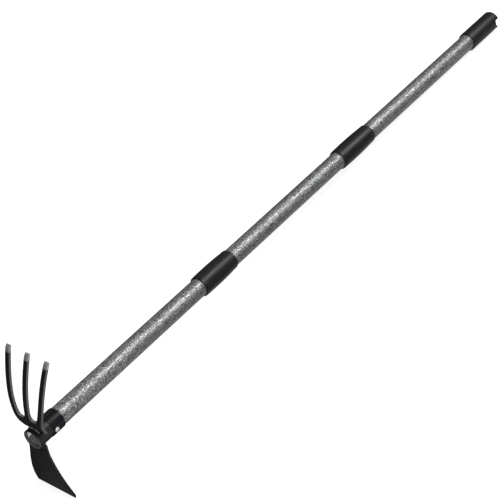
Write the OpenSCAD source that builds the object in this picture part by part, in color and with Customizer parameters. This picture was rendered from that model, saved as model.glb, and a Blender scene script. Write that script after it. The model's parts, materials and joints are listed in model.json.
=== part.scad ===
// Long-handled garden cultivator: a steel head with a hoe blade on one side of its collar and
// a three-tine rake on the other, on a handle of three tubes that screw together.
// The tool lies at rest: blade edge and end cap touch the ground, tines up, grip end at +Y.

/* [Handle] */
// Outer diameter of the three handle tubes
tube_od = 25; // [20:0.5:32]
// Wall of the handle tubes
tube_wall = 1.2; // [0.8:0.1:2]
// Head end of the collar to the mouth of the lower coupler
lower_reach = 311.3; // [180:1:420]
// Mouth of the lower coupler to the mouth of the upper coupler
middle_reach = 315.7; // [180:1:420]
// Mouth of the upper coupler to the grip end of the cap
upper_reach = 432.8; // [280:1:560]

/* [Head] */
// Wall of the head collar
collar_wall = 1.8; // [1.4:0.1:2.6]
// Length of the full-size part of the collar
collar_len = 22.4; // [16:0.2:32]
// Length of the collar's thinner tang under the ferrule
tang_len = 12; // [10:0.5:20]
// How far the closed tube end sits inside the collar
plug_recess = 3; // [1:0.5:5]
// Length of the ferrule
ferrule_len = 20; // [18:0.5:30]
// Wall of the ferrule
ferrule_wall = 1.1; // [1:0.1:2.2]
// Diameter of the head screw's pan head
screw_head_d = 7; // [6:0.5:9]
// Diameter of the head screw's shank
screw_d = 4; // [3:0.5:5]

/* [Rake] */
// Height of the tine tips above the handle's axis
tine_height = 113; // [90:1:140]
// How far the tine tips lie back from the rake plate's foot, towards the grip
tine_reach = 18; // [8:0.5:30]
// Centre of the collar to the middle of an outer tine's tip
tine_spread = 29.7; // [24:0.1:38]
// Width of a tine
tine_w = 6.2; // [4.5:0.1:8]
// Thickness of the rake plate and its tines
tine_t = 3.8; // [2.5:0.1:5]
// Collar's front face to the front of the rake plate at its foot
plate_setback = 6.2; // [5.5:0.1:9]
// How far the rake plate bows forward, towards the head's front, above its foot
plate_bow = 4.9; // [1:0.1:7]

/* [Hoe blade] */
// Length of the blade below the collar
blade_len = 82.5; // [60:0.5:110]
// Half width of the blade at the collar
blade_neck = 14.6; // [14:0.1:18]
// Half width of the blade at its cutting edge
blade_edge = 30.7; // [22:0.1:42]
// Thickness of the blade
blade_t = 2.6; // [2:0.1:4]
// Collar's front face to the front of the blade
blade_setback = 5; // [2.5:0.1:7]
// Angle by which the blade leans back towards the grip
blade_lean = 6.9; // [0:0.1:20]
// How far the middle of the blade bows forward from a straight line
blade_bow = 3.3; // [0.5:0.1:5]
// Length of the ground bevel at the cutting edge
bevel_len = 7; // [4:0.5:12]

/* [Couplers and cap] */
// Length of the lower coupler sleeve
lower_sleeve_len = 64.6; // [60:0.1:90]
// Length of the upper coupler sleeve
upper_sleeve_len = 75; // [60:0.1:90]
// Wall of a coupler sleeve at its thickest
sleeve_wall = 2.45; // [1.8:0.05:4]
// Depth to which the tube below enters a coupler
socket_depth = 24; // [16:1:28]
// Length of thread on each stud
thread_len = 18; // [10:1:20]
// Diameter of the thread
thread_d = 16; // [12:0.5:18]
// Diameter of the coupler rivets
rivet_d = 6; // [4:0.5:8]
// Length of the end cap
cap_len = 75.9; // [60:0.5:100]
// Wall of the end cap
cap_wall = 2.15; // [1.6:0.05:4]
// Depth of the open pocket behind the cap's web
pocket_depth = 25; // [15:1:35]
// Width of the hanging notch in the cap's rim
notch_w = 14; // [8:0.5:20]
// Depth of the hanging notch
notch_depth = 9.5; // [4:0.5:12]

/* [Hidden] */
$fn = 96;

run_gap = 0.06;     // radial clearance of a running fit
seat_gap = 0.05;    // clearance of a seated fit
big = 400;          // larger than any section of the head

tube_r = tube_od / 2;
bore_r = tube_r - tube_wall;
neck_r = bore_r;                            // the lower tube is swaged down inside the collar
collar_id_r = neck_r + seat_gap;
tang_r = collar_id_r + collar_wall - 0.6;
collar_r = collar_id_r + collar_wall;
ferrule_ir = max(tube_r, tang_r) + seat_gap;
ferrule_r = ferrule_ir + ferrule_wall;
sleeve_ir = tube_r + run_gap;
sleeve_r = tube_r + sleeve_wall + seat_gap;
sleeve_mouth_r = sleeve_r - 0.35;           // slightly narrower at the mouth
sleeve_end_r = sleeve_r - 1;                // and at the far end
cap_ir = tube_r + seat_gap;
cap_r = cap_ir + cap_wall;
thread_r = thread_d / 2;
ring_t = 1.2;                               // thickness of the dark steel end rings
flange_t = 2;                               // thickness of a stud's flange
stud_plug_len = 25;                         // length of stud held inside its tube
core_len = thread_len + 2;                  // length of a coupler's threaded core
spigot_len = 12;                            // core's spigot inside the tube above
pin_d = 4;                                  // cross pins of the studs
plug_t = 1.6;                               // closed end of the lower tube

// Places along the handle, from the head's reference point at 0
rim_y = 3.7;
collar_end = rim_y + collar_len;
tang_end = collar_end + tang_len;
ferrule_y = collar_end + seat_gap;
ferrule_end = ferrule_y + ferrule_len;
screw_y = ferrule_y + 5;
plug_y = rim_y + plug_recess;
lower_mouth = rim_y + lower_reach;
upper_mouth = lower_mouth + middle_reach;
tool_end = upper_mouth + upper_reach;
cap_y = tool_end - cap_len;
upper_tube_end = tool_end - pocket_depth - 3;
lower_rivet_turn = 196;                     // turn of each rivet about the handle
upper_rivet_turn = 16;
rivet_back = 5;                             // rivet's distance from the sleeve's far end

// Rake and blade
plate_y = rim_y + plate_setback + tine_t / 2;
crotch_z = 2.8 * collar_r;                  // middle of the round crotches between the tines
tip_bevel = 7;
blade_top_y = rim_y + blade_setback + blade_t / 2;
blade_root_z = -collar_r;
edge_y = blade_top_y - blade_t / 2 * cos(blade_lean) + blade_len * sin(blade_lean);
edge_z = blade_root_z - blade_t / 2 * sin(blade_lean) - blade_len * cos(blade_lean);

// The tool rests on its blade edge and the rim of the cap
tilt = atan((-cap_r - edge_z) / (tool_end - edge_y));
lift = -(-edge_y * sin(tilt) + edge_z * cos(tilt));
front = rim_y * cos(tilt) - collar_r * sin(tilt);
back = tool_end * cos(tilt) + cap_r * sin(tilt);

// Lays a piece, drawn with the handle along +Y, on the ground with its middle at the origin
module rest() translate([0, -(front + back) / 2, lift]) rotate([-tilt, 0, 0]) children();

// Turns a shape drawn along +Z to lie along the handle, starting at y
module along(y) translate([0, y, 0]) rotate([-90, 0, 0]) children();

// Turns a shape drawn along +Z to point out of the handle, turned by a about it, at y
module across(y, a = 0) translate([0, y, 0]) rotate([0, -a, 0]) rotate([0, 90, 0]) children();

module pipe(outer, inner, len) difference() {
    cylinder(r = outer, h = len);
    translate([0, 0, -1]) cylinder(r = inner, h = len + 2);
}

// ---- Head ----

module head_collar() color("#1a1a1b") rest() difference() {
    union() {
        along(rim_y) cylinder(r = collar_r, h = collar_len);
        along(collar_end - 1) cylinder(r = tang_r, h = tang_len + 1);
    }
    along(rim_y - 1) cylinder(r = collar_id_r, h = collar_len + tang_len + 2);
    across(screw_y) cylinder(d = screw_d + 2 * seat_gap, h = 2 * collar_r);
}

// Middle of an outer tine at height z: a flared leg with a tight bend at its root
function tine_x(z) = tine_spread - 0.1 * (tine_height - z)
    - 0.175 * tine_spread * pow((tine_height - z) / (0.752 * tine_height), 6);
// Middle of the plate's thickness at height z: it bows forward above its foot, then curves back
belly_z = 0.27 * tine_height;
function tine_y(z) = z < belly_z
    ? plate_y - plate_bow + plate_bow * pow((belly_z - z) / (belly_z - collar_r), 1.7)
    : plate_y - plate_bow + (tine_reach + plate_bow)
        * pow((z - belly_z) / (tine_height - belly_z), 1.7);
palm_half = 1.3 * collar_r;                 // half width and height of the palm's lower edge
palm_z = 0.75 * collar_r;
tine_steps = 22;
function tine_z(i) = collar_r + 2 + (tine_height - collar_r - 2) * i / tine_steps;
function side_z(i) = collar_r / 2 + (tine_height - collar_r / 2) * i / tine_steps;
crotch_r = (tine_x(crotch_z) - tine_w) / 2;
leg = [for (i = [0:tine_steps]) [tine_x(tine_z(i)), tine_z(i)]];
side = [for (i = [0:tine_steps]) [tine_y(side_z(i)), side_z(i)]];
// Unit normal of a polyline at point i
function normal(p, i) =
    let (a = p[max(0, i - 1)], b = p[min(len(p) - 1, i + 1)], d = b - a) [d[1], -d[0]] / norm(d);
// Outline of a strip of half width w along a polyline
function strip(p, w) = concat(
    [for (i = [0:len(p) - 1]) p[i] + w * normal(p, i)],
    [for (i = [len(p) - 1:-1:0]) p[i] - w * normal(p, i)]);

module fork_front() difference() {
    union() {
        translate([-tine_w / 2, 0]) square([tine_w, tine_height]);
        for (s = [-1, 1]) polygon(strip([for (p = leg) [s * p[0], p[1]]], tine_w / 2));
        polygon(concat([[-palm_half, palm_z], [palm_half, palm_z]],
            [for (z = [2 * collar_r:2:crotch_z]) [tine_x(z), z]],
            [for (z = [crotch_z:-2:2 * collar_r]) [-tine_x(z), z]]));
    }
    circle(r = collar_r + seat_gap);
    for (s = [-1, 1]) translate([s * (tine_w / 2 + crotch_r), crotch_z]) circle(r = crotch_r);
}

// Share of the half thickness left on the head side, where the points are ground flat
function ground(z) = min(1, 0.9 * (tine_height - z) / tip_bevel + 0.1);
module fork_side() {
    last = len(side) - 1;
    polygon(concat(
        [for (i = [0:last]) side[i] + tine_t / 2 * normal(side, i)],
        [for (i = [last:-1:0]) side[i] - tine_t / 2 * ground(side[i][1]) * normal(side, i)]));
}

module rake_fork() color("#18181a") rest() intersection() {
    translate([0, big / 2, 0]) rotate([90, 0, 0]) linear_extrude(big) fork_front();
    rotate([90, 0, 90]) translate([0, 0, -big / 2]) linear_extrude(big) fork_side();
}

function blade_half(s) = blade_neck + (blade_edge - blade_neck)
    * (0.3 * s + 0.7 * (3 * pow(s, 1.7) - 2 * pow(s, 2.55)));
module blade_front() {
    steps = 16;
    shoulder = 5;
    polygon(concat([[blade_neck, shoulder]],
        [for (i = [0:steps]) [blade_half(i / steps), -blade_len * i / steps]],
        [for (i = [steps:-1:0]) [-blade_half(i / steps), -blade_len * i / steps]],
        [[-blade_neck, shoulder]]));
}

// The blade's profile, bowed forward, and the share of its half thickness left on the grip side
blade_steps = 16;
blade_side = [for (i = [-2:blade_steps + 1]) let (s = i / blade_steps)
    [-blade_bow * 4 * s * (1 - s), -blade_len * s]];
function blade_ground(z) = max(-0.7, min(1, (blade_len + z) / bevel_len * 1.7 - 0.7));
// Fills the width with the profile, grown by a clearance where something is cut round it
module blade_slab(gap = 0) rotate([90, 0, 90]) translate([0, 0, -big / 2]) linear_extrude(big)
    let (last = len(blade_side) - 1, half = blade_t / 2 + gap) polygon(concat(
        [for (i = [0:last]) blade_side[i]
            - half * blade_ground(blade_side[i][1]) * normal(blade_side, i)],
        [for (i = [last:-1:0]) blade_side[i] + half * normal(blade_side, i)]));

module hoe_blade() color("#18181a") rest() difference() {
    translate([0, blade_top_y, blade_root_z]) rotate([blade_lean, 0, 0]) intersection() {
        translate([0, big / 2, 0]) rotate([90, 0, 0]) linear_extrude(big) blade_front();
        blade_slab();
    }
    along(rim_y - 20) cylinder(r = collar_r + seat_gap, h = collar_len + 60);
}

// Weld metal in the corners between the collar and the faces of the rake plate's foot
module fork_weld() color("#242426") rest()
    for (bead = [[1, 2.2], [-1, 1.6]]) intersection() {
        rotate([90, 0, 90]) translate([0, 0, -big / 2]) linear_extrude(big)
            let (last = len(side) - 1, near = tine_t / 2 + seat_gap, far = tine_t / 2 + bead[1])
            polygon(concat(
                [for (i = [0:last]) side[i] + bead[0] * near * normal(side, i)],
                [for (i = [last:-1:0]) side[i] + bead[0] * far * normal(side, i)]));
        along(rim_y) pipe(collar_r + 1.8, collar_r + seat_gap, collar_len);
        translate([-big / 2, 0, palm_z]) cube(big);
    }

module blade_weld() color("#242426") rest() difference() {
    intersection() {
        along(blade_top_y - blade_t / 2 - 1.6) pipe(collar_r + 2.2, collar_r + seat_gap, blade_t + 4.6);
        translate([-big / 2, -big / 2, -big]) cube([big, big, big - collar_r * 0.45]);
    }
    translate([0, blade_top_y, blade_root_z]) rotate([blade_lean, 0, 0]) blade_slab(seat_gap);
}

module tube_plug() color("#5a5c5e") rest() along(plug_y) {
    cylinder(r = neck_r - 0.6, h = plug_t);
    translate([0, 0, plug_t]) cylinder(r = neck_r - tube_wall - seat_gap, h = 8);
}

module ferrule() color("#1d1e20") rest() difference() {
    along(ferrule_y) rotate_extrude() polygon([
        [ferrule_ir, 0], [ferrule_r - 0.3, 0], [ferrule_r, 0.5],
        [ferrule_r, ferrule_len - 1.2], [ferrule_r - 0.5, ferrule_len], [ferrule_ir, ferrule_len]]);
    across(screw_y) cylinder(d = screw_d + 2 * seat_gap, h = 2 * ferrule_r);
}

// Pan-head screw with a cross recess, through ferrule, tang and tube
module head_screw() color("#c9cbcd") rest() across(screw_y) difference() {
    union() {
        translate([0, 0, neck_r - 4]) cylinder(d = screw_d, h = ferrule_r - neck_r + 4.5);
        translate([0, 0, ferrule_r + seat_gap]) cylinder(d = screw_head_d, h = 1.1);
        translate([0, 0, ferrule_r + seat_gap + 1.1])
            cylinder(d1 = screw_head_d, d2 = screw_head_d * 0.7, h = 1.1);
    }
    for (a = [0, 90]) rotate([0, 0, a])
        translate([-screw_head_d * 0.28, -0.45, ferrule_r + 1.2]) cube([screw_head_d * 0.56, 0.9, 3]);
}

// ---- Tubes and studs ----

module lower_tube() color("#8b8d8f") rest() difference() {
    along(plug_y + plug_t + seat_gap) rotate_extrude() let (
        top = lower_mouth + socket_depth - plug_y - plug_t - seat_gap,
        swage = tang_end - plug_y - plug_t) polygon([
        [neck_r - tube_wall, 0], [neck_r, 0], [neck_r, swage],
        [tube_r, swage + 3], [tube_r, top], [bore_r, top],
        [bore_r, swage + 3], [neck_r - tube_wall, swage]]);
    across(screw_y) cylinder(d = screw_d + 2 * seat_gap, h = 2 * tube_r);
    across(lower_mouth + socket_depth / 2) cylinder(d = pin_d, h = 3 * tube_r, center = true);
}

module middle_tube() color("#8b8d8f") rest() difference() {
    along(lower_mouth + socket_depth + flange_t + core_len + 2 * seat_gap)
        pipe(tube_r, bore_r, middle_reach - flange_t - core_len - 2 * seat_gap);
    rivet_hole(lower_mouth + lower_sleeve_len - rivet_back, lower_rivet_turn);
    across(upper_mouth + socket_depth / 2) cylinder(d = pin_d, h = 3 * tube_r, center = true);
}

module upper_tube() color("#8b8d8f") rest() difference() {
    along(upper_mouth + socket_depth + flange_t + core_len + 2 * seat_gap)
        pipe(tube_r, bore_r,
             upper_tube_end - upper_mouth - socket_depth - flange_t - core_len - 2 * seat_gap);
    rivet_hole(upper_mouth + upper_sleeve_len - rivet_back, upper_rivet_turn);
}

// Threaded stud in the top of the tube below a coupler
module stud(mouth) difference() {
    union() {
        along(mouth + socket_depth - stud_plug_len) cylinder(r = bore_r - seat_gap, h = stud_plug_len);
        along(mouth + socket_depth + seat_gap) cylinder(r = tube_r - 0.4, h = flange_t - 2 * seat_gap);
        along(mouth + socket_depth - 1) cylinder(r = thread_r - 1, h = flange_t + thread_len);
        along(mouth + socket_depth + flange_t) rotate_extrude() polygon([
            [0, 0], [thread_r, 0], [thread_r, thread_len - 1.5], [thread_r - 1.5, thread_len], [0, thread_len]]);
    }
    along(mouth + socket_depth - stud_plug_len - 1) cylinder(r = thread_r - 3.5, h = big);
    across(mouth + socket_depth / 2) cylinder(d = pin_d, h = 3 * tube_r, center = true);
}
module stud_pin(mouth) across(mouth + socket_depth / 2)
    cylinder(d = pin_d - 2 * seat_gap, h = 2 * (tube_r - 0.2), center = true);

module lower_stud() color("#7d7f82") rest() stud(lower_mouth);
module lower_stud_pin() color("#9a9c9e") rest() stud_pin(lower_mouth);
module upper_stud() color("#7d7f82") rest() stud(upper_mouth);
module upper_stud_pin() color("#9a9c9e") rest() stud_pin(upper_mouth);

// ---- Couplers ----

// Dark steel ring held in the mouth of a coupler: it slides on the tube but does not turn
module mouth_ring(mouth) along(mouth) pipe(sleeve_mouth_r - 0.1, sleeve_ir, ring_t);

// Black sleeve, drawn from its mouth: a little fuller in the middle, tapering to a rounded end
module sleeve(len) rotate_extrude() polygon(concat(
    [[sleeve_ir, ring_t + seat_gap], [sleeve_mouth_r, ring_t + seat_gap], [sleeve_r, 0.28 * len]],
    [for (i = [0:8]) let (s = i / 8)
        [sleeve_r - (sleeve_r - sleeve_end_r) * s * s, 0.6 * len + (0.4 * len - 2 * rivet_back) * s]],
    [for (a = [30:30:90]) [sleeve_end_r - 1.2 + 1.2 * cos(a), len - 1.2 + 1.2 * sin(a)]],
    [[sleeve_ir, len]]));

module rivet_hole(y, turn) across(y, turn) cylinder(d = rivet_d - 2 + 2 * seat_gap, h = 2 * sleeve_r);

// Steel core pressed into the sleeve: threaded bore below, spigot in the tube above
module core(mouth, y, turn) difference() {
    union() {
        along(mouth + socket_depth + flange_t) cylinder(r = sleeve_ir - seat_gap, h = core_len);
        along(mouth + socket_depth + flange_t + 1)
            cylinder(r = bore_r - seat_gap, h = y + rivet_d - mouth - socket_depth - flange_t);
    }
    along(mouth) cylinder(r = thread_r + run_gap, h = big);
    rivet_hole(y, turn);
}

module coupler_sleeve(mouth, len, turn) difference() {
    along(mouth) sleeve(len);
    rivet_hole(mouth + len - rivet_back, turn);
}

// Round-headed rivet through sleeve, tube and spigot
module rivet(y, turn) across(y, turn) {
    translate([0, 0, thread_r + 1]) cylinder(d = rivet_d - 2, h = sleeve_end_r - thread_r);
    translate([0, 0, sleeve_end_r + seat_gap]) cylinder(d1 = rivet_d, d2 = rivet_d - 1.6, h = 0.8);
}

module lower_coupler_ring() color("#1c1c1d") rest() mouth_ring(lower_mouth);
module lower_coupler_core() color("#8c8f92") rest()
    core(lower_mouth, lower_mouth + lower_sleeve_len - rivet_back, lower_rivet_turn);
module lower_coupler_sleeve() color("#1c1c1f") rest()
    coupler_sleeve(lower_mouth, lower_sleeve_len, lower_rivet_turn);
module lower_coupler_rivet() color("#5c5e60") rest()
    rivet(lower_mouth + lower_sleeve_len - rivet_back, lower_rivet_turn);
module upper_coupler_ring() color("#1c1c1d") rest() mouth_ring(upper_mouth);
module upper_coupler_core() color("#8c8f92") rest()
    core(upper_mouth, upper_mouth + upper_sleeve_len - rivet_back, upper_rivet_turn);
module upper_coupler_sleeve() color("#1c1c1f") rest()
    coupler_sleeve(upper_mouth, upper_sleeve_len, upper_rivet_turn);
module upper_coupler_rivet() color("#5c5e60") rest()
    rivet(upper_mouth + upper_sleeve_len - rivet_back, upper_rivet_turn);

// ---- Grip end ----

module cap_ring() color("#1c1c1d") rest() along(cap_y) pipe(cap_r - 0.15, cap_ir, ring_t);

module end_cap() color("#1c1c1f") rest() difference() {
    along(cap_y) rotate_extrude() polygon([
        [cap_ir, ring_t + seat_gap], [cap_r - 0.1, ring_t + seat_gap], [cap_r, 3],
        [cap_r, cap_len - 1.5], [cap_r - 0.4, cap_len - 0.5], [cap_r - 1, cap_len],
        [cap_r - cap_wall - 0.4, cap_len], [cap_r - cap_wall - 0.4, cap_len - pocket_depth],
        [0, cap_len - pocket_depth], [0, upper_tube_end - cap_y + seat_gap],
        [cap_ir, upper_tube_end - cap_y + seat_gap]]);
    // hanging notch with round corners, open to the rim
    translate([0, tool_end - notch_depth, 0]) rotate([0, 90, 0]) {
        for (s = [-1, 1]) translate([s * (notch_w / 2 - 2.5), 2.5, 0]) cylinder(r = 2.5, h = 2 * cap_r);
        translate([-notch_w / 2 + 2.5, 0, 0]) cube([notch_w - 5, 2 * notch_depth, 2 * cap_r]);
        translate([-notch_w / 2, 2.5, 0]) cube([notch_w, 2 * notch_depth, 2 * cap_r]);
    }
}

head_collar();
rake_fork();
hoe_blade();
fork_weld();
blade_weld();
tube_plug();
ferrule();
head_screw();
lower_tube();
lower_stud();
lower_stud_pin();
lower_coupler_ring();
lower_coupler_core();
lower_coupler_sleeve();
lower_coupler_rivet();
middle_tube();
upper_stud();
upper_stud_pin();
upper_coupler_ring();
upper_coupler_core();
upper_coupler_sleeve();
upper_coupler_rivet();
upper_tube();
cap_ring();
end_cap();
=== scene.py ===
import json
import math

import bpy
from mathutils import Matrix, Vector


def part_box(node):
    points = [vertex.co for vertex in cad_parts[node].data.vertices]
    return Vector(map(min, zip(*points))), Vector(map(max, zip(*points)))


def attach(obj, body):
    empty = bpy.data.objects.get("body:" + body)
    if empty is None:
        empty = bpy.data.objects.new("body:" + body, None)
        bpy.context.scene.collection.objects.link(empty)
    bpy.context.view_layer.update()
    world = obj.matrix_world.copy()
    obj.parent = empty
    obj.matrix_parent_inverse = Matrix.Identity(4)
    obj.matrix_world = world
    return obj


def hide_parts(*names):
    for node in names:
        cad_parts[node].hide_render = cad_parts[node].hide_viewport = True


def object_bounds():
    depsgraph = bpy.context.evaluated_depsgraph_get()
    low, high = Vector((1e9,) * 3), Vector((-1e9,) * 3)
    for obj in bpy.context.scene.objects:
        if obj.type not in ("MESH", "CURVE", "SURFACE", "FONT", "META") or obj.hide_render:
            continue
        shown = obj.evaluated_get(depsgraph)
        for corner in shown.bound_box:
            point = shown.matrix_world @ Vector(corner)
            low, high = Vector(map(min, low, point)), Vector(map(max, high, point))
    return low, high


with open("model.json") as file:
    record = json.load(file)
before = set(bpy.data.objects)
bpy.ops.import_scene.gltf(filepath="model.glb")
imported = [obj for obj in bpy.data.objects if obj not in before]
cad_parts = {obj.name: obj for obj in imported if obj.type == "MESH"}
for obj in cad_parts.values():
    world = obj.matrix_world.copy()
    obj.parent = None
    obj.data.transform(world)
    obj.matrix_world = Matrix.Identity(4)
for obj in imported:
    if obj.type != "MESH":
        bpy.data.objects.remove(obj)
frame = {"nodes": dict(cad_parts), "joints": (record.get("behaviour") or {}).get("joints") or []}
cad_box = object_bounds()

# ---------------------------------------------------------------------------------------------
# The handle tubes: three cold-drawn steel tubes of one diameter, coated in silver hammered
# paint. They lie on one line, with the head at one end and the grip at the other.

MM = 0.001
turn = next(j for j in frame["joints"] if j["name"] == "lower_coupler_turn")
side = Vector((1, 0, 0))
along = Vector(turn["axis"]).normalized()
laid = Matrix((side, along, side.cross(along))).transposed().to_4x4()
laid.translation = Vector(turn["pos_m"])


def span(name):
    """Where a CAD node starts and ends along the handle's line, and its radius about it."""
    away = laid.inverted()
    points = [away @ v.co for v in frame["nodes"][name].data.vertices]
    reach = max(math.hypot(p.x, p.z) for p in points)
    return min(p.y for p in points), max(p.y for p in points), reach


# y = 0 is the front rim of the collar from here on, and the line runs towards the grip
laid = laid @ Matrix.Translation((0, span("head_collar")[0], 0))
unlaid = laid.inverted()


def bare_scene():
    if bpy.context.mode != "OBJECT":
        bpy.ops.object.mode_set(mode="OBJECT")
    bpy.ops.object.select_all(action="DESELECT")


def only(piece):
    bare_scene()
    piece.select_set(True)
    bpy.context.view_layer.objects.active = piece


def pick(piece, wanted, kind="VERT"):
    """Selects the vertices or faces for which wanted() is true, and stays in edit mode."""
    only(piece)
    bpy.ops.object.mode_set(mode="EDIT")
    bpy.ops.mesh.select_mode(type=kind)
    bpy.ops.mesh.select_all(action="DESELECT")
    bpy.ops.object.mode_set(mode="OBJECT")
    for item in piece.data.vertices if kind == "VERT" else piece.data.polygons:
        item.select = wanted(item)
    bpy.ops.object.mode_set(mode="EDIT")


def rounded(corners, steps=4):
    """A profile of (radius, y, rounding) corners in mm, as (radius, y) points in metres."""
    points = []
    for i, (r, y, size) in enumerate(corners):
        here = Vector((r, y))
        if size and 0 < i < len(corners) - 1:
            before = Vector(corners[i - 1][:2])
            after = Vector(corners[i + 1][:2])
            start = here + (before - here).normalized() * size
            end = here + (after - here).normalized() * size
            for k in range(steps + 1):
                t = k / steps
                points.append((1 - t) ** 2 * start + 2 * t * (1 - t) * here + t * t * end)
        else:
            points.append(here)
    return [(p.x * MM, p.y * MM) for p in points]


def turned(name, profile, closed=True, steps=96):
    """Turns a profile round the handle's line, as on a lathe."""
    bare_scene()
    bpy.ops.mesh.primitive_plane_add(size=MM)
    piece = bpy.context.object
    piece.name = name
    piece.data.name = name
    bpy.ops.object.mode_set(mode="EDIT")
    bpy.ops.mesh.select_mode(type="VERT")
    bpy.ops.mesh.merge(type="CENTER")
    bpy.ops.transform.translate(value=(profile[0][0], profile[0][1], 0))
    path = profile[1:] + ([profile[0]] if closed else [])
    last = profile[0]
    for point in path:
        step = (point[0] - last[0], point[1] - last[1], 0)
        bpy.ops.mesh.extrude_region_move(TRANSFORM_OT_translate={"value": step})
        last = point
    bpy.ops.mesh.select_all(action="SELECT")
    bpy.ops.mesh.remove_doubles(threshold=1e-7)
    bpy.ops.mesh.select_all(action="SELECT")
    bpy.ops.mesh.spin(steps=steps, angle=math.tau, center=(0, 0, 0), axis=(0, 1, 0))
    bpy.ops.mesh.select_all(action="SELECT")
    bpy.ops.mesh.remove_doubles(threshold=2e-6)
    bpy.ops.mesh.normals_make_consistent(inside=False)
    bpy.ops.object.mode_set(mode="OBJECT")
    return piece


def smooth(piece, degrees=35):
    only(piece)
    bpy.ops.object.shade_smooth_by_angle(angle=math.radians(degrees))


def lay(piece):
    """Puts a piece, made with the handle along +Y, where the tool lies on the ground."""
    only(piece)
    piece.matrix_world = laid @ piece.matrix_world
    bpy.ops.object.transform_apply(location=True, rotation=True, scale=True)


def nodes_of(material):
    material.use_nodes = True
    tree = material.node_tree
    return tree, tree.nodes["Principled BSDF"]


def add(tree, kind, inputs=None, **settings):
    node = tree.nodes.new(kind)
    for key, value in settings.items():
        setattr(node, key, value)
    for key, value in (inputs or {}).items():
        if isinstance(value, bpy.types.NodeSocket):
            tree.links.new(value, node.inputs[key])
        else:
            node.inputs[key].default_value = value
    return node


def handle_space(tree):
    """Object coordinates turned so that Y runs along the handle from the collar's rim."""
    place = add(tree, "ShaderNodeTexCoord")
    turned_back = add(tree, "ShaderNodeMapping", {"Vector": place.outputs["Object"]})
    turned_back.inputs["Location"].default_value = unlaid.translation
    turned_back.inputs["Rotation"].default_value = unlaid.to_euler()
    return turned_back.outputs["Vector"]


def ramp(tree, value, stops):
    node = add(tree, "ShaderNodeValToRGB", {"Fac": value})
    elements = node.color_ramp.elements
    while len(elements) < len(stops):
        elements.new(0.5)
    for element, (place, grey) in zip(elements, stops):
        element.position = place
        element.color = (grey, grey, grey, 1)
    return node.outputs["Color"]


def mix(tree, mask, low, high, kind="RGBA"):
    node = tree.nodes.new("ShaderNodeMix")
    node.data_type = kind
    first, second = (6, 7) if kind == "RGBA" else (2, 3)
    for key, value in ((0, mask), (first, low), (second, high)):
        if isinstance(value, bpy.types.NodeSocket):
            tree.links.new(value, node.inputs[key])
        elif kind == "RGBA" and key != 0:
            node.inputs[key].default_value = (*value, 1)
        else:
            node.inputs[key].default_value = value
    return node.outputs[2 if kind == "RGBA" else 0]


def effect(name, outputs, inputs):
    """A new shader node group with float inputs, and its tree, input and output nodes."""
    group = bpy.data.node_groups.new(name, "ShaderNodeTree")
    for key, value in inputs.items():
        socket = group.interface.new_socket(key, in_out="INPUT", socket_type="NodeSocketFloat")
        socket.default_value = value
    for key in outputs:
        group.interface.new_socket(key, in_out="OUTPUT", socket_type="NodeSocketFloat")
    return group, group.nodes.new("NodeGroupInput"), group.nodes.new("NodeGroupOutput")


def use(tree, group, **values):
    node = tree.nodes.new("ShaderNodeGroup")
    node.node_tree = group
    for key, value in values.items():
        node.inputs[key].default_value = value
    return node


# Hammered paint draws together into small round cells with thin dark veins between them
cells, given, put = effect("hammer_cells", ("Cell", "Height"), {"Scale": 430.0, "Warp": 0.0016})
space = handle_space(cells)
wander = add(cells, "ShaderNodeTexNoise", {"Vector": space, "Scale": 260.0, "Detail": 2.0})
centred = add(cells, "ShaderNodeVectorMath", {0: wander.outputs["Color"], 1: (0.5, 0.5, 0.5)},
              operation="SUBTRACT")
pushed = add(cells, "ShaderNodeVectorMath", {0: centred.outputs[0]}, operation="SCALE")
cells.links.new(given.outputs["Warp"], pushed.inputs["Scale"])
moved = add(cells, "ShaderNodeVectorMath", {0: space, 1: pushed.outputs[0]})
voronoi = add(cells, "ShaderNodeTexVoronoi", {"Vector": moved.outputs[0]},
              feature="DISTANCE_TO_EDGE")
cells.links.new(given.outputs["Scale"], voronoi.inputs["Scale"])
shades = add(cells, "ShaderNodeTexVoronoi", {"Vector": moved.outputs[0]})
cells.links.new(given.outputs["Scale"], shades.inputs["Scale"])
vein = ramp(cells, voronoi.outputs["Distance"], [(0.0, 0.0), (0.12, 0.45), (0.34, 1.0)])
own = add(cells, "ShaderNodeSeparateColor", {"Color": shades.outputs["Color"]})
cell_tone = add(cells, "ShaderNodeMath", {0: own.outputs["Red"], 1: 0.55, 2: 0.45},
                operation="MULTIPLY_ADD")
both = add(cells, "ShaderNodeMath", {0: vein, 1: cell_tone.outputs[0]}, operation="MULTIPLY")
cells.links.new(both.outputs[0], put.inputs["Cell"])
cells.links.new(vein, put.inputs["Height"])

hammered = bpy.data.materials.new("silver_hammered_paint")
tree, shader = nodes_of(hammered)
pattern = use(tree, cells)
tree.links.new(mix(tree, pattern.outputs["Cell"], (0.035, 0.036, 0.038), (0.62, 0.63, 0.64)),
               shader.inputs["Base Color"])
tree.links.new(mix(tree, pattern.outputs["Cell"], 0.5, 0.34, "FLOAT"), shader.inputs["Roughness"])
bump = add(tree, "ShaderNodeBump", {"Height": pattern.outputs["Height"], "Distance": 0.00022,
                                    "Strength": 0.8})
tree.links.new(bump.outputs["Normal"], shader.inputs["Normal"])
shader.inputs["Metallic"].default_value = 0.75
shader.inputs["Coat Weight"].default_value = 0.15
shader.inputs["Coat Roughness"].default_value = 0.25

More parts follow.
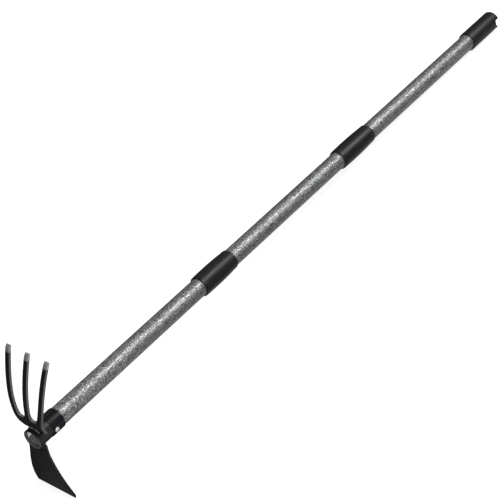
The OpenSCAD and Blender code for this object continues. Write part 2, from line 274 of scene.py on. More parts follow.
tube_wall = 1.2
for name, body in (("lower_tube", "lower_section"), ("middle_tube", "middle_section"),
                   ("upper_tube", "grip_section")):
    start, end, radius = span(name)
    near, far, r = start / MM, end / MM, radius / MM
    inner = r - tube_wall
    profile = [(inner, near, 0), (r, near, 0.4), (r, far, 0.4), (inner, far, 0.3),
               (inner, (near + far) / 2, 0)]
    if name == "lower_tube":
        # the head end is drawn down to fit inside the collar, and widens under the ferrule
        tang = span("head_collar")[1] / MM
        neck = inner
        profile = [(neck - tube_wall, near, 0), (neck, near, 0.4), (neck, tang, 1.5),
                   (r, tang + 3, 1.5), (r, far, 0.4), (inner, far, 0.3), (inner, tang + 3, 1.5),
                   (neck - tube_wall, tang, 1.5)]
    tube = turned(name + "_steel", rounded(profile), steps=128)
    smooth(tube)
    lay(tube)
    tube.data.materials.append(hammered)
    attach(tube, body)
    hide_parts(name)

# ---------------------------------------------------------------------------------------------
# The head collar: a short steel tube that the rake and the blade are welded to. It is painted
# satin black, bare in its bore and worn on its cut end; a thinner tang goes under the ferrule.

# Paint, with a fine orange peel, worn to the steel where edges are sharp
worn, given, put = effect("edge_wear", ("Mask",), {"Width": 0.0006, "Grain": 900.0, "Amount": 0.5})
space = handle_space(worn)
soft = add(worn, "ShaderNodeBevel", samples=6)
worn.links.new(given.outputs["Width"], soft.inputs["Radius"])
true_normal = add(worn, "ShaderNodeNewGeometry")
agree = add(worn, "ShaderNodeVectorMath", {0: soft.outputs["Normal"],
                                           1: true_normal.outputs["Normal"]},
            operation="DOT_PRODUCT")
edge = ramp(worn, agree.outputs["Value"], [(0.80, 1.0), (0.97, 0.0)])
patchy = add(worn, "ShaderNodeTexNoise", {"Vector": space, "Detail": 4.0})
worn.links.new(given.outputs["Grain"], patchy.inputs["Scale"])
broken = ramp(worn, patchy.outputs["Fac"], [(0.42, 0.0), (0.62, 1.0)])
edge_mask = add(worn, "ShaderNodeMath", {0: edge, 1: broken}, operation="MULTIPLY")
amount = add(worn, "ShaderNodeMath", {0: edge_mask.outputs[0]}, operation="MULTIPLY")
worn.links.new(given.outputs["Amount"], amount.inputs[1])
worn.links.new(amount.outputs[0], put.inputs["Mask"])

# Slow patches of slightly different gloss and tone, from handling and dust
patches, given, put = effect("patches", ("Patch", "Grain"), {"Size": 60.0, "Grit": 1400.0})
space = handle_space(patches)
slow = add(patches, "ShaderNodeTexNoise", {"Vector": space, "Detail": 5.0, "Roughness": 0.6})
patches.links.new(given.outputs["Size"], slow.inputs["Scale"])
quick_grain = add(patches, "ShaderNodeTexNoise", {"Vector": space, "Detail": 2.0})
patches.links.new(given.outputs["Grit"], quick_grain.inputs["Scale"])
patches.links.new(ramp(patches, slow.outputs["Fac"], [(0.3, 0.0), (0.7, 1.0)]),
                  put.inputs["Patch"])
patches.links.new(quick_grain.outputs["Fac"], put.inputs["Grain"])


def painted_black(name, bare=None):
    """Satin black paint on steel; bare(tree) gives a mask of where the steel is left bare."""
    material = bpy.data.materials.new(name)
    tree, shader = nodes_of(material)
    patch = use(tree, patches, Size=90.0, Grit=1100.0)
    paint = mix(tree, patch.outputs["Patch"], (0.005, 0.005, 0.0052), (0.009, 0.009, 0.0093))
    steel = mix(tree, patch.outputs["Grain"], (0.22, 0.22, 0.225), (0.5, 0.5, 0.51))
    wear = use(tree, worn, Amount=0.55)
    mask = wear.outputs["Mask"]
    if bare:
        mask = add(tree, "ShaderNodeMath", {0: mask, 1: bare(tree)}, operation="MAXIMUM").outputs[0]
    tree.links.new(mix(tree, mask, paint, steel), shader.inputs["Base Color"])
    tree.links.new(mix(tree, mask, 0.0, 0.6, "FLOAT"), shader.inputs["Metallic"])
    gloss = mix(tree, patch.outputs["Patch"], 0.36, 0.46, "FLOAT")
    tree.links.new(mix(tree, mask, gloss, 0.40, "FLOAT"), shader.inputs["Roughness"])
    bump = add(tree, "ShaderNodeBump", {"Height": patch.outputs["Grain"], "Distance": 0.00006,
                                        "Strength": 0.5})
    tree.links.new(bump.outputs["Normal"], shader.inputs["Normal"])
    shader.inputs["Specular IOR Level"].default_value = 0.3
    return material


def bare_rim(tree):
    """The bore, and the cut end where the paint has gone in patches on the lower right."""
    parts = add(tree, "ShaderNodeSeparateXYZ", {"Vector": handle_space(tree)})
    flat = add(tree, "ShaderNodeCombineXYZ", {"X": parts.outputs["X"], "Y": parts.outputs["Z"]})
    away = add(tree, "ShaderNodeVectorMath", {0: flat.outputs[0]}, operation="LENGTH")
    inside = add(tree, "ShaderNodeMath", {0: away.outputs["Value"], 1: (bore + 0.25) * MM},
                 operation="LESS_THAN")
    face = add(tree, "ShaderNodeMath", {0: parts.outputs["Y"], 1: 0.25 * MM},
               operation="LESS_THAN")
    rightward = add(tree, "ShaderNodeMath", {0: parts.outputs["X"], 1: parts.outputs["Z"]},
                    operation="SUBTRACT")
    worn_side = add(tree, "ShaderNodeMapRange", {"Value": rightward.outputs[0], "From Min": 0.0,
                                                 "From Max": collar_r * 0.7 * MM})
    blotches = add(tree, "ShaderNodeTexNoise", {"Vector": handle_space(tree), "Scale": 420.0,
                                                "Detail": 3.0})
    patchy_face = add(tree, "ShaderNodeMath", {
        0: face.outputs[0], 1: ramp(tree, blotches.outputs["Fac"], [(0.42, 0.2), (0.6, 0.9)])},
        operation="MULTIPLY")
    worn_face = add(tree, "ShaderNodeMath", {0: patchy_face.outputs[0],
                                             1: worn_side.outputs["Result"]},
                    operation="MULTIPLY")
    stained = add(tree, "ShaderNodeMath", {0: inside.outputs[0], 1: 0.4}, operation="MULTIPLY")
    return add(tree, "ShaderNodeMath", {0: stained.outputs[0], 1: worn_face.outputs[0]},
               operation="MAXIMUM").outputs[0]


collar_start, collar_end, collar_r = (v / MM for v in span("head_collar"))
ferrule_start = span("ferrule")[0] / MM
bore = span("lower_tube")[2] / MM - tube_wall + 0.05
tang_r = collar_r - 0.6
collar = turned("collar", rounded([
    (bore, collar_start, 0.35), (collar_r, collar_start, 0.7), (collar_r, ferrule_start, 0.3),
    (tang_r, ferrule_start - 0.05, 0), (tang_r, collar_end, 0.3), (bore, collar_end, 0.3)]))
smooth(collar)
lay(collar)
collar.data.materials.append(painted_black("collar_paint", bare_rim))
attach(collar, "lower_section")
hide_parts("head_collar")

# ---------------------------------------------------------------------------------------------
# The rake: one steel plate, cut to a palm with three tines, bent back towards the grip and
# ground to flat chisel points that are left bare. Its foot is cut to fit round the collar.

tine_w = 6.2
plate_t = 3.8
tine_spread = 29.7
tip_bevel = 7.0
fork_tip = max((unlaid @ v.co).z for v in frame["nodes"]["rake_fork"].data.vertices) / MM
foot_y = 6.2 + plate_t / 2      # middle of the plate where it meets the collar's top
plate_bow = 4.9
belly_z = 0.27 * fork_tip
tine_reach = 18.0
palm_half, palm_z = 1.3 * collar_r, 0.75 * collar_r
crotch_z = 2.8 * collar_r
tines = ((0, 2, -1), (8, 10, 0), (16, 18, 1))     # first and last column of each tine, its side
columns, gap_columns = 18, 6
palm_rows, tine_rows = 6, 17
rows = palm_rows + tine_rows


def tine_x(z):
    """Middle of an outer tine at height z: a flared leg with a tight bend at its root."""
    down = fork_tip - z
    return tine_spread - 0.1 * down - 0.175 * tine_spread * (down / (0.752 * fork_tip)) ** 6


def bend(z):
    """Where the middle of the plate lies along the handle at height z."""
    if z < belly_z:
        return foot_y - plate_bow + plate_bow * ((belly_z - z) / (belly_z - collar_r)) ** 1.7
    share = (z - belly_z) / (fork_tip - belly_z)
    return foot_y - plate_bow + (tine_reach + plate_bow) * share ** 1.7


def tine_place(column, row):
    share = row / (tine_rows - 1)
    z = crotch_z + (fork_tip - tip_bevel - crotch_z) * share if row < tine_rows else fork_tip
    for first, last, way in tines:
        if first <= column <= last:
            slope = (tine_x(z + 1) - tine_x(z - 1)) / 2 if way else 0
            across = (column - first - 1) * tine_w / 2 * math.hypot(1, slope)
            return way * tine_x(z) + across, z
    # the round bottom of a crotch, between the inner edges of two tines
    left = tines[0][1] if column < columns / 2 else tines[1][1]
    x0, x1 = tine_place(left, row)[0], tine_place(left + gap_columns, row)[0]
    angle = math.pi * (column - left) / gap_columns
    half = (x1 - x0) / 2
    return (x0 + x1) / 2 - half * math.cos(angle), z - half * math.sin(angle)


def foot_place(column):
    """The lower edge: flat outside, and cut to the collar's round in the middle."""
    x = palm_half * (column / columns * 2 - 1)
    if abs(x) < collar_r * 0.66:
        return x, math.sqrt((collar_r + 0.05) ** 2 - x * x)
    return x, palm_z


def fork_place(column, row):
    if row >= palm_rows:
        return tine_place(column, row - palm_rows)
    low, high = foot_place(column), tine_place(column, 0)
    share = row / palm_rows
    x, z = (a + (b - a) * share for a, b in zip(low, high))
    # the outer columns follow the flared outline down to the palm's corners
    outer = max(0, abs(column - columns / 2) - gap_columns) / 3
    if outer and z > 2 * collar_r:
        way = 1 if column > columns / 2 else -1
        edge = tine_x(z) + tine_w / 2 * 1.35
        low_x, high_x = foot_place(columns)[0], tine_place(columns, 0)[0]
        straight = low_x + (high_x - low_x) * share
        x += way * outer * (edge - straight)
    return x, z


bare_scene()
bpy.ops.mesh.primitive_grid_add(x_subdivisions=columns, y_subdivisions=rows, size=2)
fork = bpy.context.object
fork.name = fork.data.name = "rake"


def grid_place(co):
    return round((co.x + 1) * columns / 2), round((co.y + 1) * rows / 2)


def in_gap(face):
    column, row = (face.center.x + 1) * columns / 2, (face.center.y + 1) * rows / 2
    return row > palm_rows and not any(first < column < last for first, last, way in tines)


pick(fork, in_gap, "FACE")
bpy.ops.mesh.delete(type="FACE")
bpy.ops.object.mode_set(mode="OBJECT")
for vertex in fork.data.vertices:
    x, z = fork_place(*grid_place(vertex.co))
    vertex.co = (x * MM, bend(z) * MM, z * MM)


def thicken(piece, thickness):
    """Smooths a flat cut plate's curves, keeping its corners, and gives it its thickness."""
    curves = piece.modifiers.new("smooth curves", "SUBSURF")
    curves.levels = curves.render_levels = 1
    curves.boundary_smooth = "PRESERVE_CORNERS"
    plate = piece.modifiers.new("plate", "SOLIDIFY")
    plate.thickness = thickness * MM
    plate.offset = 0
    only(piece)
    bpy.ops.object.modifier_apply(modifier="smooth curves")
    bpy.ops.object.modifier_apply(modifier="plate")


def round_edges(piece, width):
    rounding = piece.modifiers.new("rounded edges", "BEVEL")
    rounding.width = width * MM
    rounding.segments = 3
    rounding.limit_method = "ANGLE"
    rounding.angle_limit = math.radians(50)
    only(piece)
    bpy.ops.object.modifier_apply(modifier="rounded edges")


def front_of_tip(vertex):
    x, y, z = vertex.co / MM
    return z > fork_tip - tip_bevel * 0.3 and y < bend(z)


# the chisel points are ground from the head side
thicken(fork, plate_t)
pick(fork, front_of_tip)
bpy.ops.transform.translate(value=(0, 0.45 * plate_t * MM, 0))
bpy.ops.mesh.select_all(action="SELECT")
bpy.ops.mesh.normals_make_consistent(inside=False)
bpy.ops.object.mode_set(mode="OBJECT")
round_edges(fork, 0.32)
smooth(fork, 50)
lay(fork)


def bare_tips_and_lit_sides(tree):
    """Bare steel on the ground points, up to a ragged edge, and a painted highlight on the side
    faces, made a quarter bare steel so they look lit.
    """
    height = add(tree, "ShaderNodeSeparateXYZ", {"Vector": handle_space(tree)})
    ragged = add(tree, "ShaderNodeTexNoise", {"Scale": 500.0, "Detail": 3.0,
                                              "Vector": handle_space(tree)})
    uneven = add(tree, "ShaderNodeMath", {0: ragged.outputs["Fac"], 1: 0.0025,
                                          2: height.outputs["Z"]}, operation="MULTIPLY_ADD")
    edge = (fork_tip - tip_bevel + 1.0) * MM
    ground = add(tree, "ShaderNodeMapRange", {"Value": uneven.outputs[0], "From Min": edge,
                                              "From Max": edge + 0.0006})
    facing = add(tree, "ShaderNodeSeparateXYZ",
                 {"Vector": add(tree, "ShaderNodeNewGeometry").outputs["Normal"]})
    along = add(tree, "ShaderNodeMath", {0: facing.outputs["Y"]}, operation="ABSOLUTE")
    # painted highlight: faces turned sideways get a quarter of bare steel's lighter colour, to look
    # lit from the side
    painted_side_light = add(tree, "ShaderNodeMapRange", {"Value": along.outputs[0], "From Min": 0.6,
                                                "From Max": 0.3, "To Max": 0.25})
    return add(tree, "ShaderNodeMath", {0: ground.outputs["Result"],
                                        1: painted_side_light.outputs["Result"]},
               operation="MAXIMUM").outputs[0]


fork.data.materials.append(painted_black("rake_paint", bare_tips_and_lit_sides))
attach(fork, "lower_section")
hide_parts("rake_fork")

# ---------------------------------------------------------------------------------------------
# The hoe blade: a steel plate, bowed a little, that widens to a straight cutting edge, leans
# back towards the grip and is ground sharp on that side. Its top is cut to fit under the collar.

blade_t = 2.6
blade_neck, blade_edge = 14.6, 30.7
blade_len = 82.5
lean = math.radians(6.9)
blade_bow = 3.3
blade_middle_y = 5.0 + blade_t / 2
bevel_len = 7.0
blade_columns, blade_rows = 8, 16


def blade_half(share):
    return blade_neck + (blade_edge - blade_neck) * (
        0.3 * share + 0.7 * (3 * share ** 1.7 - 2 * share ** 2.55))


def blade_top(column):
    """The arc under the collar, with a small horn on each side of it."""
    if column in (0, blade_columns):
        return (-blade_neck if column == 0 else blade_neck), 5.0
    angle = math.radians(52) * (column - 4) / 3
    return (collar_r + 0.05) * math.sin(angle), collar_r - (collar_r + 0.05) * math.cos(angle)


def blade_place(column, row):
    x0, z0 = blade_top(column)
    if row == 0:
        return x0, z0
    down = blade_len * (row / blade_rows)
    if row == blade_rows - 1:
        down = blade_len - bevel_len
    half = blade_half(down / blade_len)
    x1 = half * (column - 4) / 4
    settle = min(1, row / 4)
    return x0 + (x1 - x0) * settle, -down + (z0 * (1 - settle) if row < 4 else 0)


bare_scene()
bpy.ops.mesh.primitive_grid_add(x_subdivisions=blade_columns, y_subdivisions=blade_rows, size=2)
blade = bpy.context.object
blade.name = blade.data.name = "blade"
for vertex in blade.data.vertices:
    column = round((vertex.co.x + 1) * blade_columns / 2)
    row = blade_rows - round((vertex.co.y + 1) * blade_rows / 2)
    x, z = blade_place(column, row)
    share = -z / blade_len
    vertex.co = (x * MM, -blade_bow * 4 * share * (1 - share) * MM, z * MM)
thicken(blade, blade_t)
pick(blade, lambda v: v.co.z < -(blade_len - 0.5) * MM and v.co.y > 0)
bpy.ops.transform.translate(value=(0, -(blade_t - 0.4) * MM, 0))
bpy.ops.mesh.select_all(action="SELECT")
bpy.ops.mesh.normals_make_consistent(inside=False)
bpy.ops.object.mode_set(mode="OBJECT")
round_edges(blade, 0.3)
smooth(blade, 50)
blade.matrix_world = (Matrix.Translation((0, blade_middle_y * MM, -collar_r * MM))
                      @ Matrix.Rotation(lean, 4, "X"))
lay(blade)


def bare_edge(tree):
    """A thin worn line along the cutting edge."""
    height = add(tree, "ShaderNodeSeparateXYZ", {"Vector": handle_space(tree)})
    ragged = add(tree, "ShaderNodeTexNoise", {"Scale": 260.0, "Detail": 4.0,
                                              "Vector": handle_space(tree)})
    uneven = add(tree, "ShaderNodeMath", {0: ragged.outputs["Fac"], 1: 0.004,
                                          2: height.outputs["Z"]}, operation="MULTIPLY_ADD")
    edge = (-collar_r - blade_len * math.cos(lean) + 2.6) * MM
    return add(tree, "ShaderNodeMapRange", {"Value": uneven.outputs[0], "From Min": edge + 0.0008,
                                            "From Max": edge}).outputs["Result"]


blade.data.materials.append(painted_black("blade_paint", bare_edge))
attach(blade, "lower_section")
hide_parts("hoe_blade")

# ---------------------------------------------------------------------------------------------
# The weld beads that hold the rake and the blade to the collar, front and back, laid in short
# overlapping ripples and painted over with the rest of the head.


def thin_paint_and_glint(tree):
    """Paint that hardly covers the crests of the ripples: bare steel in patches, partly worn paint
    and partly a painted glint along the bead.
    """
    crests = add(tree, "ShaderNodeTexNoise", {"Vector": handle_space(tree), "Scale": 380.0,
                                              "Detail": 3.0})
    # lighter bare crests, partly wear and partly a painted glint
    return ramp(tree, crests.outputs["Fac"], [(0.36, 0.05), (0.54, 0.8)])


ripples = 30      # to half a turn round the collar


def weld(name, y, size, middle, sweep):
    """A rippled bead round the collar, at y along it, centred on the angle middle."""
    out = (collar_r + size * 0.15) * MM
    bare_scene()
    bpy.ops.mesh.primitive_circle_add(vertices=14, radius=size * MM, fill_type="NGON",
                                      location=(out, y * MM, 0))
    bead = bpy.context.object
    bead.name = bead.data.name = name
    bpy.ops.object.transform_apply(location=True)
    bpy.ops.object.mode_set(mode="EDIT")
    bpy.ops.mesh.select_all(action="SELECT")
    bpy.ops.mesh.spin(steps=sweep, angle=math.radians(sweep), center=(0, 0, 0), axis=(0, 1, 0))
    bpy.ops.mesh.select_all(action="SELECT")
    bpy.ops.mesh.normals_make_consistent(inside=False)
    bpy.ops.object.mode_set(mode="OBJECT")
    for vertex in bead.data.vertices:
        angle = math.degrees(math.atan2(vertex.co.z, vertex.co.x))
        heart = Vector((math.cos(math.radians(angle)), 0, math.sin(math.radians(angle)))) * out
        heart.y = y * MM
        aside = (vertex.co.y - heart.y) / (size * MM)
        crescents = abs(math.sin(math.radians(angle * ripples) + aside * aside))
        taper = min(1, 0.3 + min(angle, sweep - angle) / 10)
        vertex.co = heart + (vertex.co - heart) * taper * (0.84 + 0.16 * crescents)
    bead.matrix_world = Matrix.Rotation(math.radians(sweep / 2 - middle), 4, "Y")
    smooth(bead, 60)
    lay(bead)
    bead.data.materials.append(painted_black(name + "_paint", thin_paint_and_glint))
    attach(bead, "lower_section")
    return bead


fork_back = weld("rake_weld_back", foot_y + plate_t / 2 + 1.2, 1.6, 90, 84)
weld("rake_weld_front", foot_y - plate_t / 2 - 0.4, 1.2, 90, 84)
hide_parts("fork_weld")
blade_back = weld("blade_weld_back", blade_middle_y + blade_t / 2 + 0.6, 1.6, -90, 118)
weld("blade_weld_front", blade_middle_y - blade_t / 2 - 0.1, 0.9, -90, 110)
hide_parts("blade_weld")

# ---------------------------------------------------------------------------------------------
# The closed end of the lower tube: a pressed steel disc with a rounded rim, set a little way
# inside the collar. Its paint has the tube's hammered pattern, only darker and finer.

plug_start, plug_end, _ = (v / MM for v in span("tube_plug"))
plug = turned("tube_end", rounded([
    (0, plug_start + 0.5, 0), (bore * 0.5, plug_start + 0.35, 1.5), (bore - 2.6, plug_start, 0.8),
    (bore - 0.75, plug_start, 0.9), (bore - 0.75, plug_start + 2.0, 0),
    (bore - 1.4, plug_end, 0.4), (0, plug_end, 0)]), closed=False)
smooth(plug)
lay(plug)
plug_paint = bpy.data.materials.new("tube_end_paint")
tree, shader = nodes_of(plug_paint)
pattern = use(tree, cells, Scale=520.0)
paint = mix(tree, pattern.outputs["Cell"], (0.02, 0.02, 0.021), (0.42, 0.42, 0.425))
# a painted glint: the upper left of the disc and its rim is coloured near white
parts = add(tree, "ShaderNodeSeparateXYZ", {"Vector": handle_space(tree)})
flat = add(tree, "ShaderNodeCombineXYZ", {"X": parts.outputs["X"], "Y": parts.outputs["Z"]})
glint_side = add(tree, "ShaderNodeVectorMath", {0: flat.outputs[0], 1: (-0.8, 0.6, 0)},
                  operation="DOT_PRODUCT")
painted_glint = add(tree, "ShaderNodeMapRange", {"Value": glint_side.outputs["Value"],
                                          "From Min": bore * 0.42 * MM,
                                          "From Max": bore * 0.55 * MM})
tree.links.new(mix(tree, painted_glint.outputs["Result"], paint, (0.95, 0.95, 0.95)),
               shader.inputs["Base Color"])
shader.inputs["Roughness"].default_value = 0.42
bump = add(tree, "ShaderNodeBump", {"Height": pattern.outputs["Height"], "Distance": 0.0002,
                                    "Strength": 0.7})
tree.links.new(bump.outputs["Normal"], shader.inputs["Normal"])
plug.data.materials.append(plug_paint)
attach(plug, "lower_section")
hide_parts("tube_plug")

# ---------------------------------------------------------------------------------------------
# The ferrule: a moulded black sleeve, glossier than the rest, that bridges the collar's tang
# and the tube.


def moulded_black(name, roughness, shine, tint):
    """Black plastic with a fine moulded grain, dulled a little where hands rub it."""
    material = bpy.data.materials.new(name)
    tree, shader = nodes_of(material)
    patch = use(tree, patches, Size=45.0, Grit=1700.0)
    dull = tuple(c * 1.5 for c in tint)
    tree.links.new(mix(tree, patch.outputs["Patch"], tint, dull), shader.inputs["Base Color"])
    tree.links.new(mix(tree, patch.outputs["Patch"], roughness, roughness + 0.08, "FLOAT"),
                   shader.inputs["Roughness"])
    shader.inputs["Specular IOR Level"].default_value = shine
    bump = add(tree, "ShaderNodeBump", {"Height": patch.outputs["Grain"], "Distance": 0.00004,
                                        "Strength": 0.45})
    tree.links.new(bump.outputs["Normal"], shader.inputs["Normal"])
    return material


f_start, f_end, f_r = (v / MM for v in span("ferrule"))
f_bore = f_r - 1.1
ferrule = turned("ferrule_sleeve", rounded([
    (f_bore, f_start, 0), (f_r, f_start, 0.5), (f_r, f_end, 1.1), (f_bore, f_end, 0.2)]))
smooth(ferrule)
lay(ferrule)
ferrule.data.materials.append(moulded_black("ferrule_plastic", 0.3, 0.15, (0.003, 0.003, 0.0042)))
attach(ferrule, "lower_section")
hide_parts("ferrule")

# ---------------------------------------------------------------------------------------------
# The head screw: a bright plated pan-head screw with a cross recess, through ferrule, tang and
# tube from the side.


def plain_metal(name, tone, roughness):
    material = bpy.data.materials.new(name)
    tree, shader = nodes_of(material)
    patch = use(tree, patches, Size=220.0, Grit=2600.0)
    low, high = tone * 0.8, tone
    tree.links.new(mix(tree, patch.outputs["Patch"], (low, low, low), (high, high, high * 1.01)),
                   shader.inputs["Base Color"])
    tree.links.new(mix(tree, patch.outputs["Grain"], roughness, roughness + 0.1, "FLOAT"),
                   shader.inputs["Roughness"])
    bump = add(tree, "ShaderNodeBump", {"Height": patch.outputs["Grain"], "Distance": 0.00002,
                                        "Strength": 0.3})
    tree.links.new(bump.outputs["Normal"], shader.inputs["Normal"])
    shader.inputs["Metallic"].default_value = 1.0
    return material


screw_head_d, screw_d = 7.0, 4.0
screw_y = f_start + 5.0
head_at = f_r + 0.05
screw = turned("pan_head_screw", rounded([
    (0, head_at + 2.1, 0), (screw_head_d * 0.22, head_at + 2.05, 0.5),
    (screw_head_d * 0.46, head_at + 1.5, 0.9), (screw_head_d / 2, head_at + 0.7, 0.5),
    (screw_head_d / 2, head_at, 0.15), (screw_d / 2, head_at, 0.1),
    (screw_d / 2, f_r - 6.5, 0.4), (0, f_r - 7.0, 0)]), closed=False, steps=48)
screw.matrix_world = (Matrix.Translation((0, screw_y * MM, 0))
                      @ Matrix.Rotation(-math.pi / 2, 4, "Z"))
only(screw)
bpy.ops.object.transform_apply()
bare_scene()
bpy.ops.mesh.primitive_cube_add(size=1)
cross = bpy.context.object
bpy.ops.object.mode_set(mode="EDIT")
bpy.ops.mesh.select_all(action="SELECT")
bpy.ops.transform.resize(value=(3.0 * MM, 3.9 * MM, 0.95 * MM))
bpy.ops.mesh.duplicate()
bpy.ops.transform.rotate(value=math.pi / 2, orient_axis="X", center_override=(0, 0, 0))
bpy.ops.mesh.select_all(action="SELECT")
bpy.ops.transform.translate(value=((head_at + 2.5) * MM, screw_y * MM, 0))
bpy.ops.transform.rotate(value=math.radians(28), orient_axis="X",
                         center_override=(0, screw_y * MM, 0))
bpy.ops.object.mode_set(mode="OBJECT")
recess = screw.modifiers.new("cross recess", "BOOLEAN")
recess.object = cross
recess.use_self = True
only(screw)
bpy.ops.object.modifier_apply(modifier="cross recess")
bpy.data.objects.remove(cross)
smooth(screw, 30)
lay(screw)
screw.data.materials.append(plain_metal("plated_screw", 0.9, 0.25))
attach(screw, "lower_section")
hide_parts("head_screw")

# ---------------------------------------------------------------------------------------------
# The couplers: a black moulded sleeve on the lower end of each upper section, full in the
# middle and tapering to a rounded end, with a blackened steel ring in its mouth and a rivet
# through sleeve, tube and core near the far end.

ring_metal = plain_metal("blackened_steel", 0.06, 0.34)
sleeve_black = moulded_black("sleeve_plastic", 0.36, 0.27, (0.007, 0.007, 0.0082))
tube_r = span("middle_tube")[2] / MM
rivet_d = 6.0


def ring(node, body):
    start, end, radius = (v / MM for v in span(node))
    band = turned(node + "_metal", rounded([
        (tube_r + 0.06, start, 0.1), (radius, start, 0.35), (radius, end, 0.1),
        (tube_r + 0.06, end, 0)]))
    smooth(band)
    lay(band)
    band.data.materials.append(ring_metal)
    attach(band, body)
    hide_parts(node)


def drilled(piece, y, angle, radius, low, high):
    """Cuts a round hole into a piece, pointing out of the handle at an angle about it."""
    bare_scene()
    bpy.ops.mesh.primitive_cylinder_add(vertices=48, radius=radius * MM, depth=(high - low) * MM,
                                        location=(0, 0, (low + high) / 2 * MM))
    drill = bpy.context.object
    bpy.ops.object.transform_apply()
    drill.matrix_world = (Matrix.Translation((0, y * MM, 0)) @ Matrix.Rotation(-angle, 4, "Y")
                          @ Matrix.Rotation(math.pi / 2, 4, "Y"))
    only(drill)
    bpy.ops.object.transform_apply()
    cut = piece.modifiers.new("hole", "BOOLEAN")
    cut.object = drill
    only(piece)
    bpy.ops.object.modifier_apply(modifier="hole")
    bpy.data.objects.remove(drill)


rivet_metal = plain_metal("rivet_steel", 0.05, 0.4)
for which, ring_body, body in (("lower", "lower_ring", "middle_section"),
                               ("upper", "upper_ring", "grip_section")):
    ring(which + "_coupler_ring", ring_body)
    start, end, radius = (v / MM for v in span(which + "_coupler_sleeve"))
    long = end - start
    shaft = tube_r + 0.06
    sleeve = turned(which + "_sleeve", rounded([
        (shaft, start, 0), (radius - 0.35, start, 0.3), (radius - 0.1, start + 0.14 * long, 4.0),
        (radius, start + 0.3 * long, 6.0), (radius - 0.05, start + 0.55 * long, 6.0),
        (radius - 0.45, start + 0.75 * long, 6.0), (radius - 1.0, end - 8, 4.0),
        (radius - 1.15, end, 1.3), (shaft, end, 0.2)], steps=5))
    rivet_centre = (unlaid @ ((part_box(which + "_coupler_rivet")[0]
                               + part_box(which + "_coupler_rivet")[1]) / 2)) / MM
    angle = math.atan2(rivet_centre.z, rivet_centre.x)
    rivet_y = end - 5.0
    drilled(sleeve, rivet_y, angle, rivet_d / 2, radius - 1.5, radius + 2)
    smooth(sleeve)
    lay(sleeve)
    sleeve.data.materials.append(sleeve_black)
    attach(sleeve, body)
    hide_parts(which + "_coupler_sleeve")

    seat = radius - 1.5
    rivet = turned(which + "_rivet", rounded([
        (0, seat + 1.1, 0), (1.2, seat + 1.05, 0.4), (rivet_d / 2 - 1.0, seat + 0.7, 0.5),
        (rivet_d / 2 - 0.7, seat + 0.05, 0.1), (rivet_d / 2 - 1.2, seat + 0.05, 0.1),
        (rivet_d / 2 - 1.2, seat - 5.0, 0.2), (0, seat - 5.0, 0)]), closed=False, steps=40)
    rivet.matrix_world = (Matrix.Translation((0, rivet_y * MM, 0)) @ Matrix.Rotation(-angle, 4, "Y")
                          @ Matrix.Rotation(-math.pi / 2, 4, "Z"))
    only(rivet)
    bpy.ops.object.transform_apply()
    smooth(rivet)
    lay(rivet)
    rivet.data.materials.append(rivet_metal)
    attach(rivet, body)
    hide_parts(which + "_coupler_rivet")

# ---------------------------------------------------------------------------------------------
# The end cap: a moulded black cap pushed on the last tube, with a blackened steel ring at its
# mouth. Its end is an open pocket, and a notch in the rim hangs it on a hook.

ring("cap_ring", "grip_section")
start, end, radius = (v / MM for v in span("end_cap"))
pocket_r = radius - 2.15 - 0.4
pocket_floor = end - 25.0
web = 3.0
notch_w, notch_depth = 14.0, 9.5
cap = turned("cap", rounded([
    (tube_r + 0.05, start, 0.1), (radius - 0.15, start, 0.4), (radius, start + 3, 2.0),
    (radius, end, 1.1), (pocket_r, end, 0.7), (pocket_r, pocket_floor, 1.5), (0, pocket_floor, 0),
    (0, pocket_floor - web + 0.05, 0), (tube_r + 0.05, pocket_floor - web + 0.05, 0)]))
bare_scene()
bpy.ops.mesh.primitive_cube_add(size=1)
notch = bpy.context.object
bpy.ops.object.mode_set(mode="EDIT")
bpy.ops.mesh.select_all(action="SELECT")
bpy.ops.transform.resize(value=(2 * radius * MM, 2 * notch_depth * MM, notch_w * MM))
bpy.ops.transform.translate(value=(1.1 * radius * MM, end * MM, 0))
bpy.ops.object.mode_set(mode="OBJECT")
corner = notch.modifiers.new("round corners", "BEVEL")
corner.width = 2.5 * MM
corner.segments = 6
corner.limit_method = "ANGLE"
only(notch)
bpy.ops.object.modifier_apply(modifier="round corners")
cut = cap.modifiers.new("notch", "BOOLEAN")
cut.object = notch
only(cap)
bpy.ops.object.modifier_apply(modifier="notch")
bpy.data.objects.remove(notch)
smooth(cap)
lay(cap)
cap.data.materials.append(moulded_black("cap_plastic", 0.38, 0.27, (0.006, 0.006, 0.0072)))
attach(cap, "grip_section")
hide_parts("end_cap")

# ---------------------------------------------------------------------------------------------
# What holds the sections together, out of sight: threaded studs and their cross pins in the
# tube ends, and the threaded cores in the couplers, all in bare turned steel.

turned_steel = plain_metal("turned_steel", 0.36, 0.34)
for name in ("lower_stud", "lower_stud_pin", "upper_stud", "upper_stud_pin",
             "lower_coupler_core", "upper_coupler_core"):
    frame["nodes"][name].data.materials.clear()
    frame["nodes"][name].data.materials.append(turned_steel)

# ---------------------------------------------------------------------------------------------
# The studio: a plain pale floor, a long soft light overhead that runs along the handle, and weak
# soft lights at the sides and in front. The camera sees the floor pale; the tool sees it dim, but
# for a pale strip under the handle and a pale patch to the right of the head.

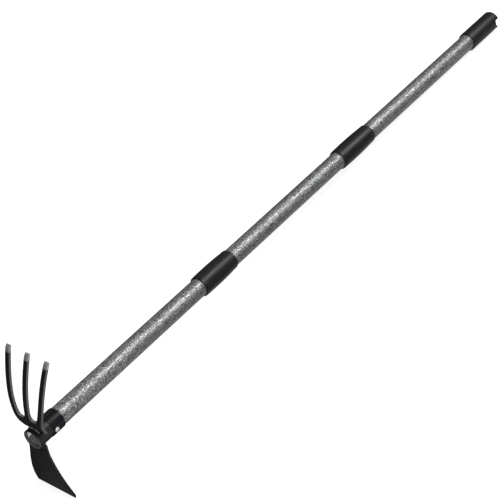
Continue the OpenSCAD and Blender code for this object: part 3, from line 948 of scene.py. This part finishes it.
bare_scene()
bpy.ops.mesh.primitive_plane_add(size=12)
floor = bpy.context.object
floor.name = "floor"
pale = bpy.data.materials.new("pale_floor")
tree, shader = nodes_of(pale)
seen = add(tree, "ShaderNodeLightPath").outputs["Is Camera Ray"]
spot = add(tree, "ShaderNodeSeparateXYZ",
           {"Vector": add(tree, "ShaderNodeTexCoord").outputs["Object"]})
sideways = add(tree, "ShaderNodeMath", {0: spot.outputs["X"]}, operation="ABSOLUTE")
near_line = add(tree, "ShaderNodeMapRange", {"Value": sideways.outputs[0], "From Min": 0.13,
                                             "From Max": 0.03, "To Max": 0.5})
behind_head = add(tree, "ShaderNodeMapRange", {"Value": spot.outputs["Y"], "From Min": -0.46,
                                               "From Max": -0.38})
strip = add(tree, "ShaderNodeMath", {0: near_line.outputs["Result"],
                                     1: behind_head.outputs["Result"]}, operation="MULTIPLY")
slant = add(tree, "ShaderNodeMath", {0: spot.outputs["X"], 1: -1.1, 2: spot.outputs["Y"]},
            operation="MULTIPLY_ADD")
front = add(tree, "ShaderNodeMapRange", {"Value": slant.outputs[0], "From Min": -0.47,
                                         "From Max": -0.52})
rightward = ramp(tree, add(tree, "ShaderNodeMath", {0: spot.outputs["X"], 1: 2.0},
                           operation="MULTIPLY").outputs[0],
                 [(0.0, 0.11), (0.19, 0.11), (0.27, 1.3), (0.52, 1.3), (0.68, 0.03)])
patch = add(tree, "ShaderNodeMath", {0: front.outputs["Result"], 1: rightward},
            operation="MULTIPLY")
lit = add(tree, "ShaderNodeMath", {0: strip.outputs[0], 1: patch.outputs[0]}, operation="MAXIMUM")
grain = add(tree, "ShaderNodeTexNoise", {"Scale": 3.0, "Detail": 3.0})
pale_tone = mix(tree, grain.outputs["Fac"], (0.40, 0.40, 0.40), (0.43, 0.43, 0.43))
tree.links.new(mix(tree, seen, (0.06, 0.06, 0.06), pale_tone), shader.inputs["Base Color"])
tree.links.new(mix(tree, seen, lit.outputs[0], (0.8, 0.8, 0.8)), shader.inputs["Emission Color"])
shader.inputs["Emission Strength"].default_value = 1.0
shader.inputs["Roughness"].default_value = 0.9
shader.inputs["Specular IOR Level"].default_value = 0.1
floor.data.materials.append(pale)

world = bpy.data.worlds.new("studio")
bpy.context.scene.world = world
world.use_nodes = True
sky = world.node_tree.nodes["Background"]
where = add(world.node_tree, "ShaderNodeTexCoord")
height = add(world.node_tree, "ShaderNodeSeparateXYZ", {"Vector": where.outputs["Generated"]})
glow = ramp(world.node_tree, height.outputs["Z"],
            [(0.0, 0.04), (0.25, 0.06), (0.6, 0.22), (1.0, 0.4)])
straight = add(world.node_tree, "ShaderNodeLightPath")
world.node_tree.links.new(
    mix(world.node_tree, straight.outputs["Is Camera Ray"], glow, (1.0, 1.0, 1.0)),
    sky.inputs["Color"])
sky.inputs["Strength"].default_value = 1.0

middle = (cad_box[0] + cad_box[1]) / 2


def soft_light(name, place, width, length, power):
    """A soft panel aimed at the tool's middle, its length lying along the handle."""
    bare_scene()
    bpy.ops.object.light_add(type="AREA", location=place)
    lamp = bpy.context.object
    lamp.name = name
    lamp.data.shape = "RECTANGLE"
    lamp.data.size = width
    lamp.data.size_y = length
    lamp.data.energy = power
    away = (Vector(place) - middle).normalized()
    across = Vector((0, 1, 0)).cross(away).normalized()
    lamp.matrix_world = Matrix((across, away.cross(across), away)).transposed().to_4x4()
    lamp.location = place


soft_light("overhead", (0.85, 0.9, 1.9), 0.8, 3.6, 68)
soft_light("left", (-1.6, -0.2, 1.0), 0.5, 2.0, 5)
soft_light("right", (1.9, -0.2, 0.55), 0.5, 1.6, 6)
soft_light("front", (0.9, -1.6, 0.9), 0.5, 0.5, 8)

# The camera looks down along the tool from in front of the head, to its right
camera_place = Vector((1.0095, -0.7127, 1.1552))
camera_right = Vector((0.7969, 0.5933, -0.1139))
camera_up = Vector((-0.2954, 0.5472, 0.7831))
bare_scene()
bpy.ops.object.camera_add()
camera = bpy.context.object
facing = Matrix((camera_right, camera_up, camera_right.cross(camera_up))).transposed().to_4x4()
facing.translation = camera_place
camera.matrix_world = laid @ facing
camera.data.sensor_width = 36
camera.data.lens = 104.4
camera.data.shift_x = -0.0015
camera.data.shift_y = 0.0015
camera.data.clip_start = 0.05
bpy.context.scene.camera = camera
bpy.context.scene.view_settings.view_transform = "Standard"
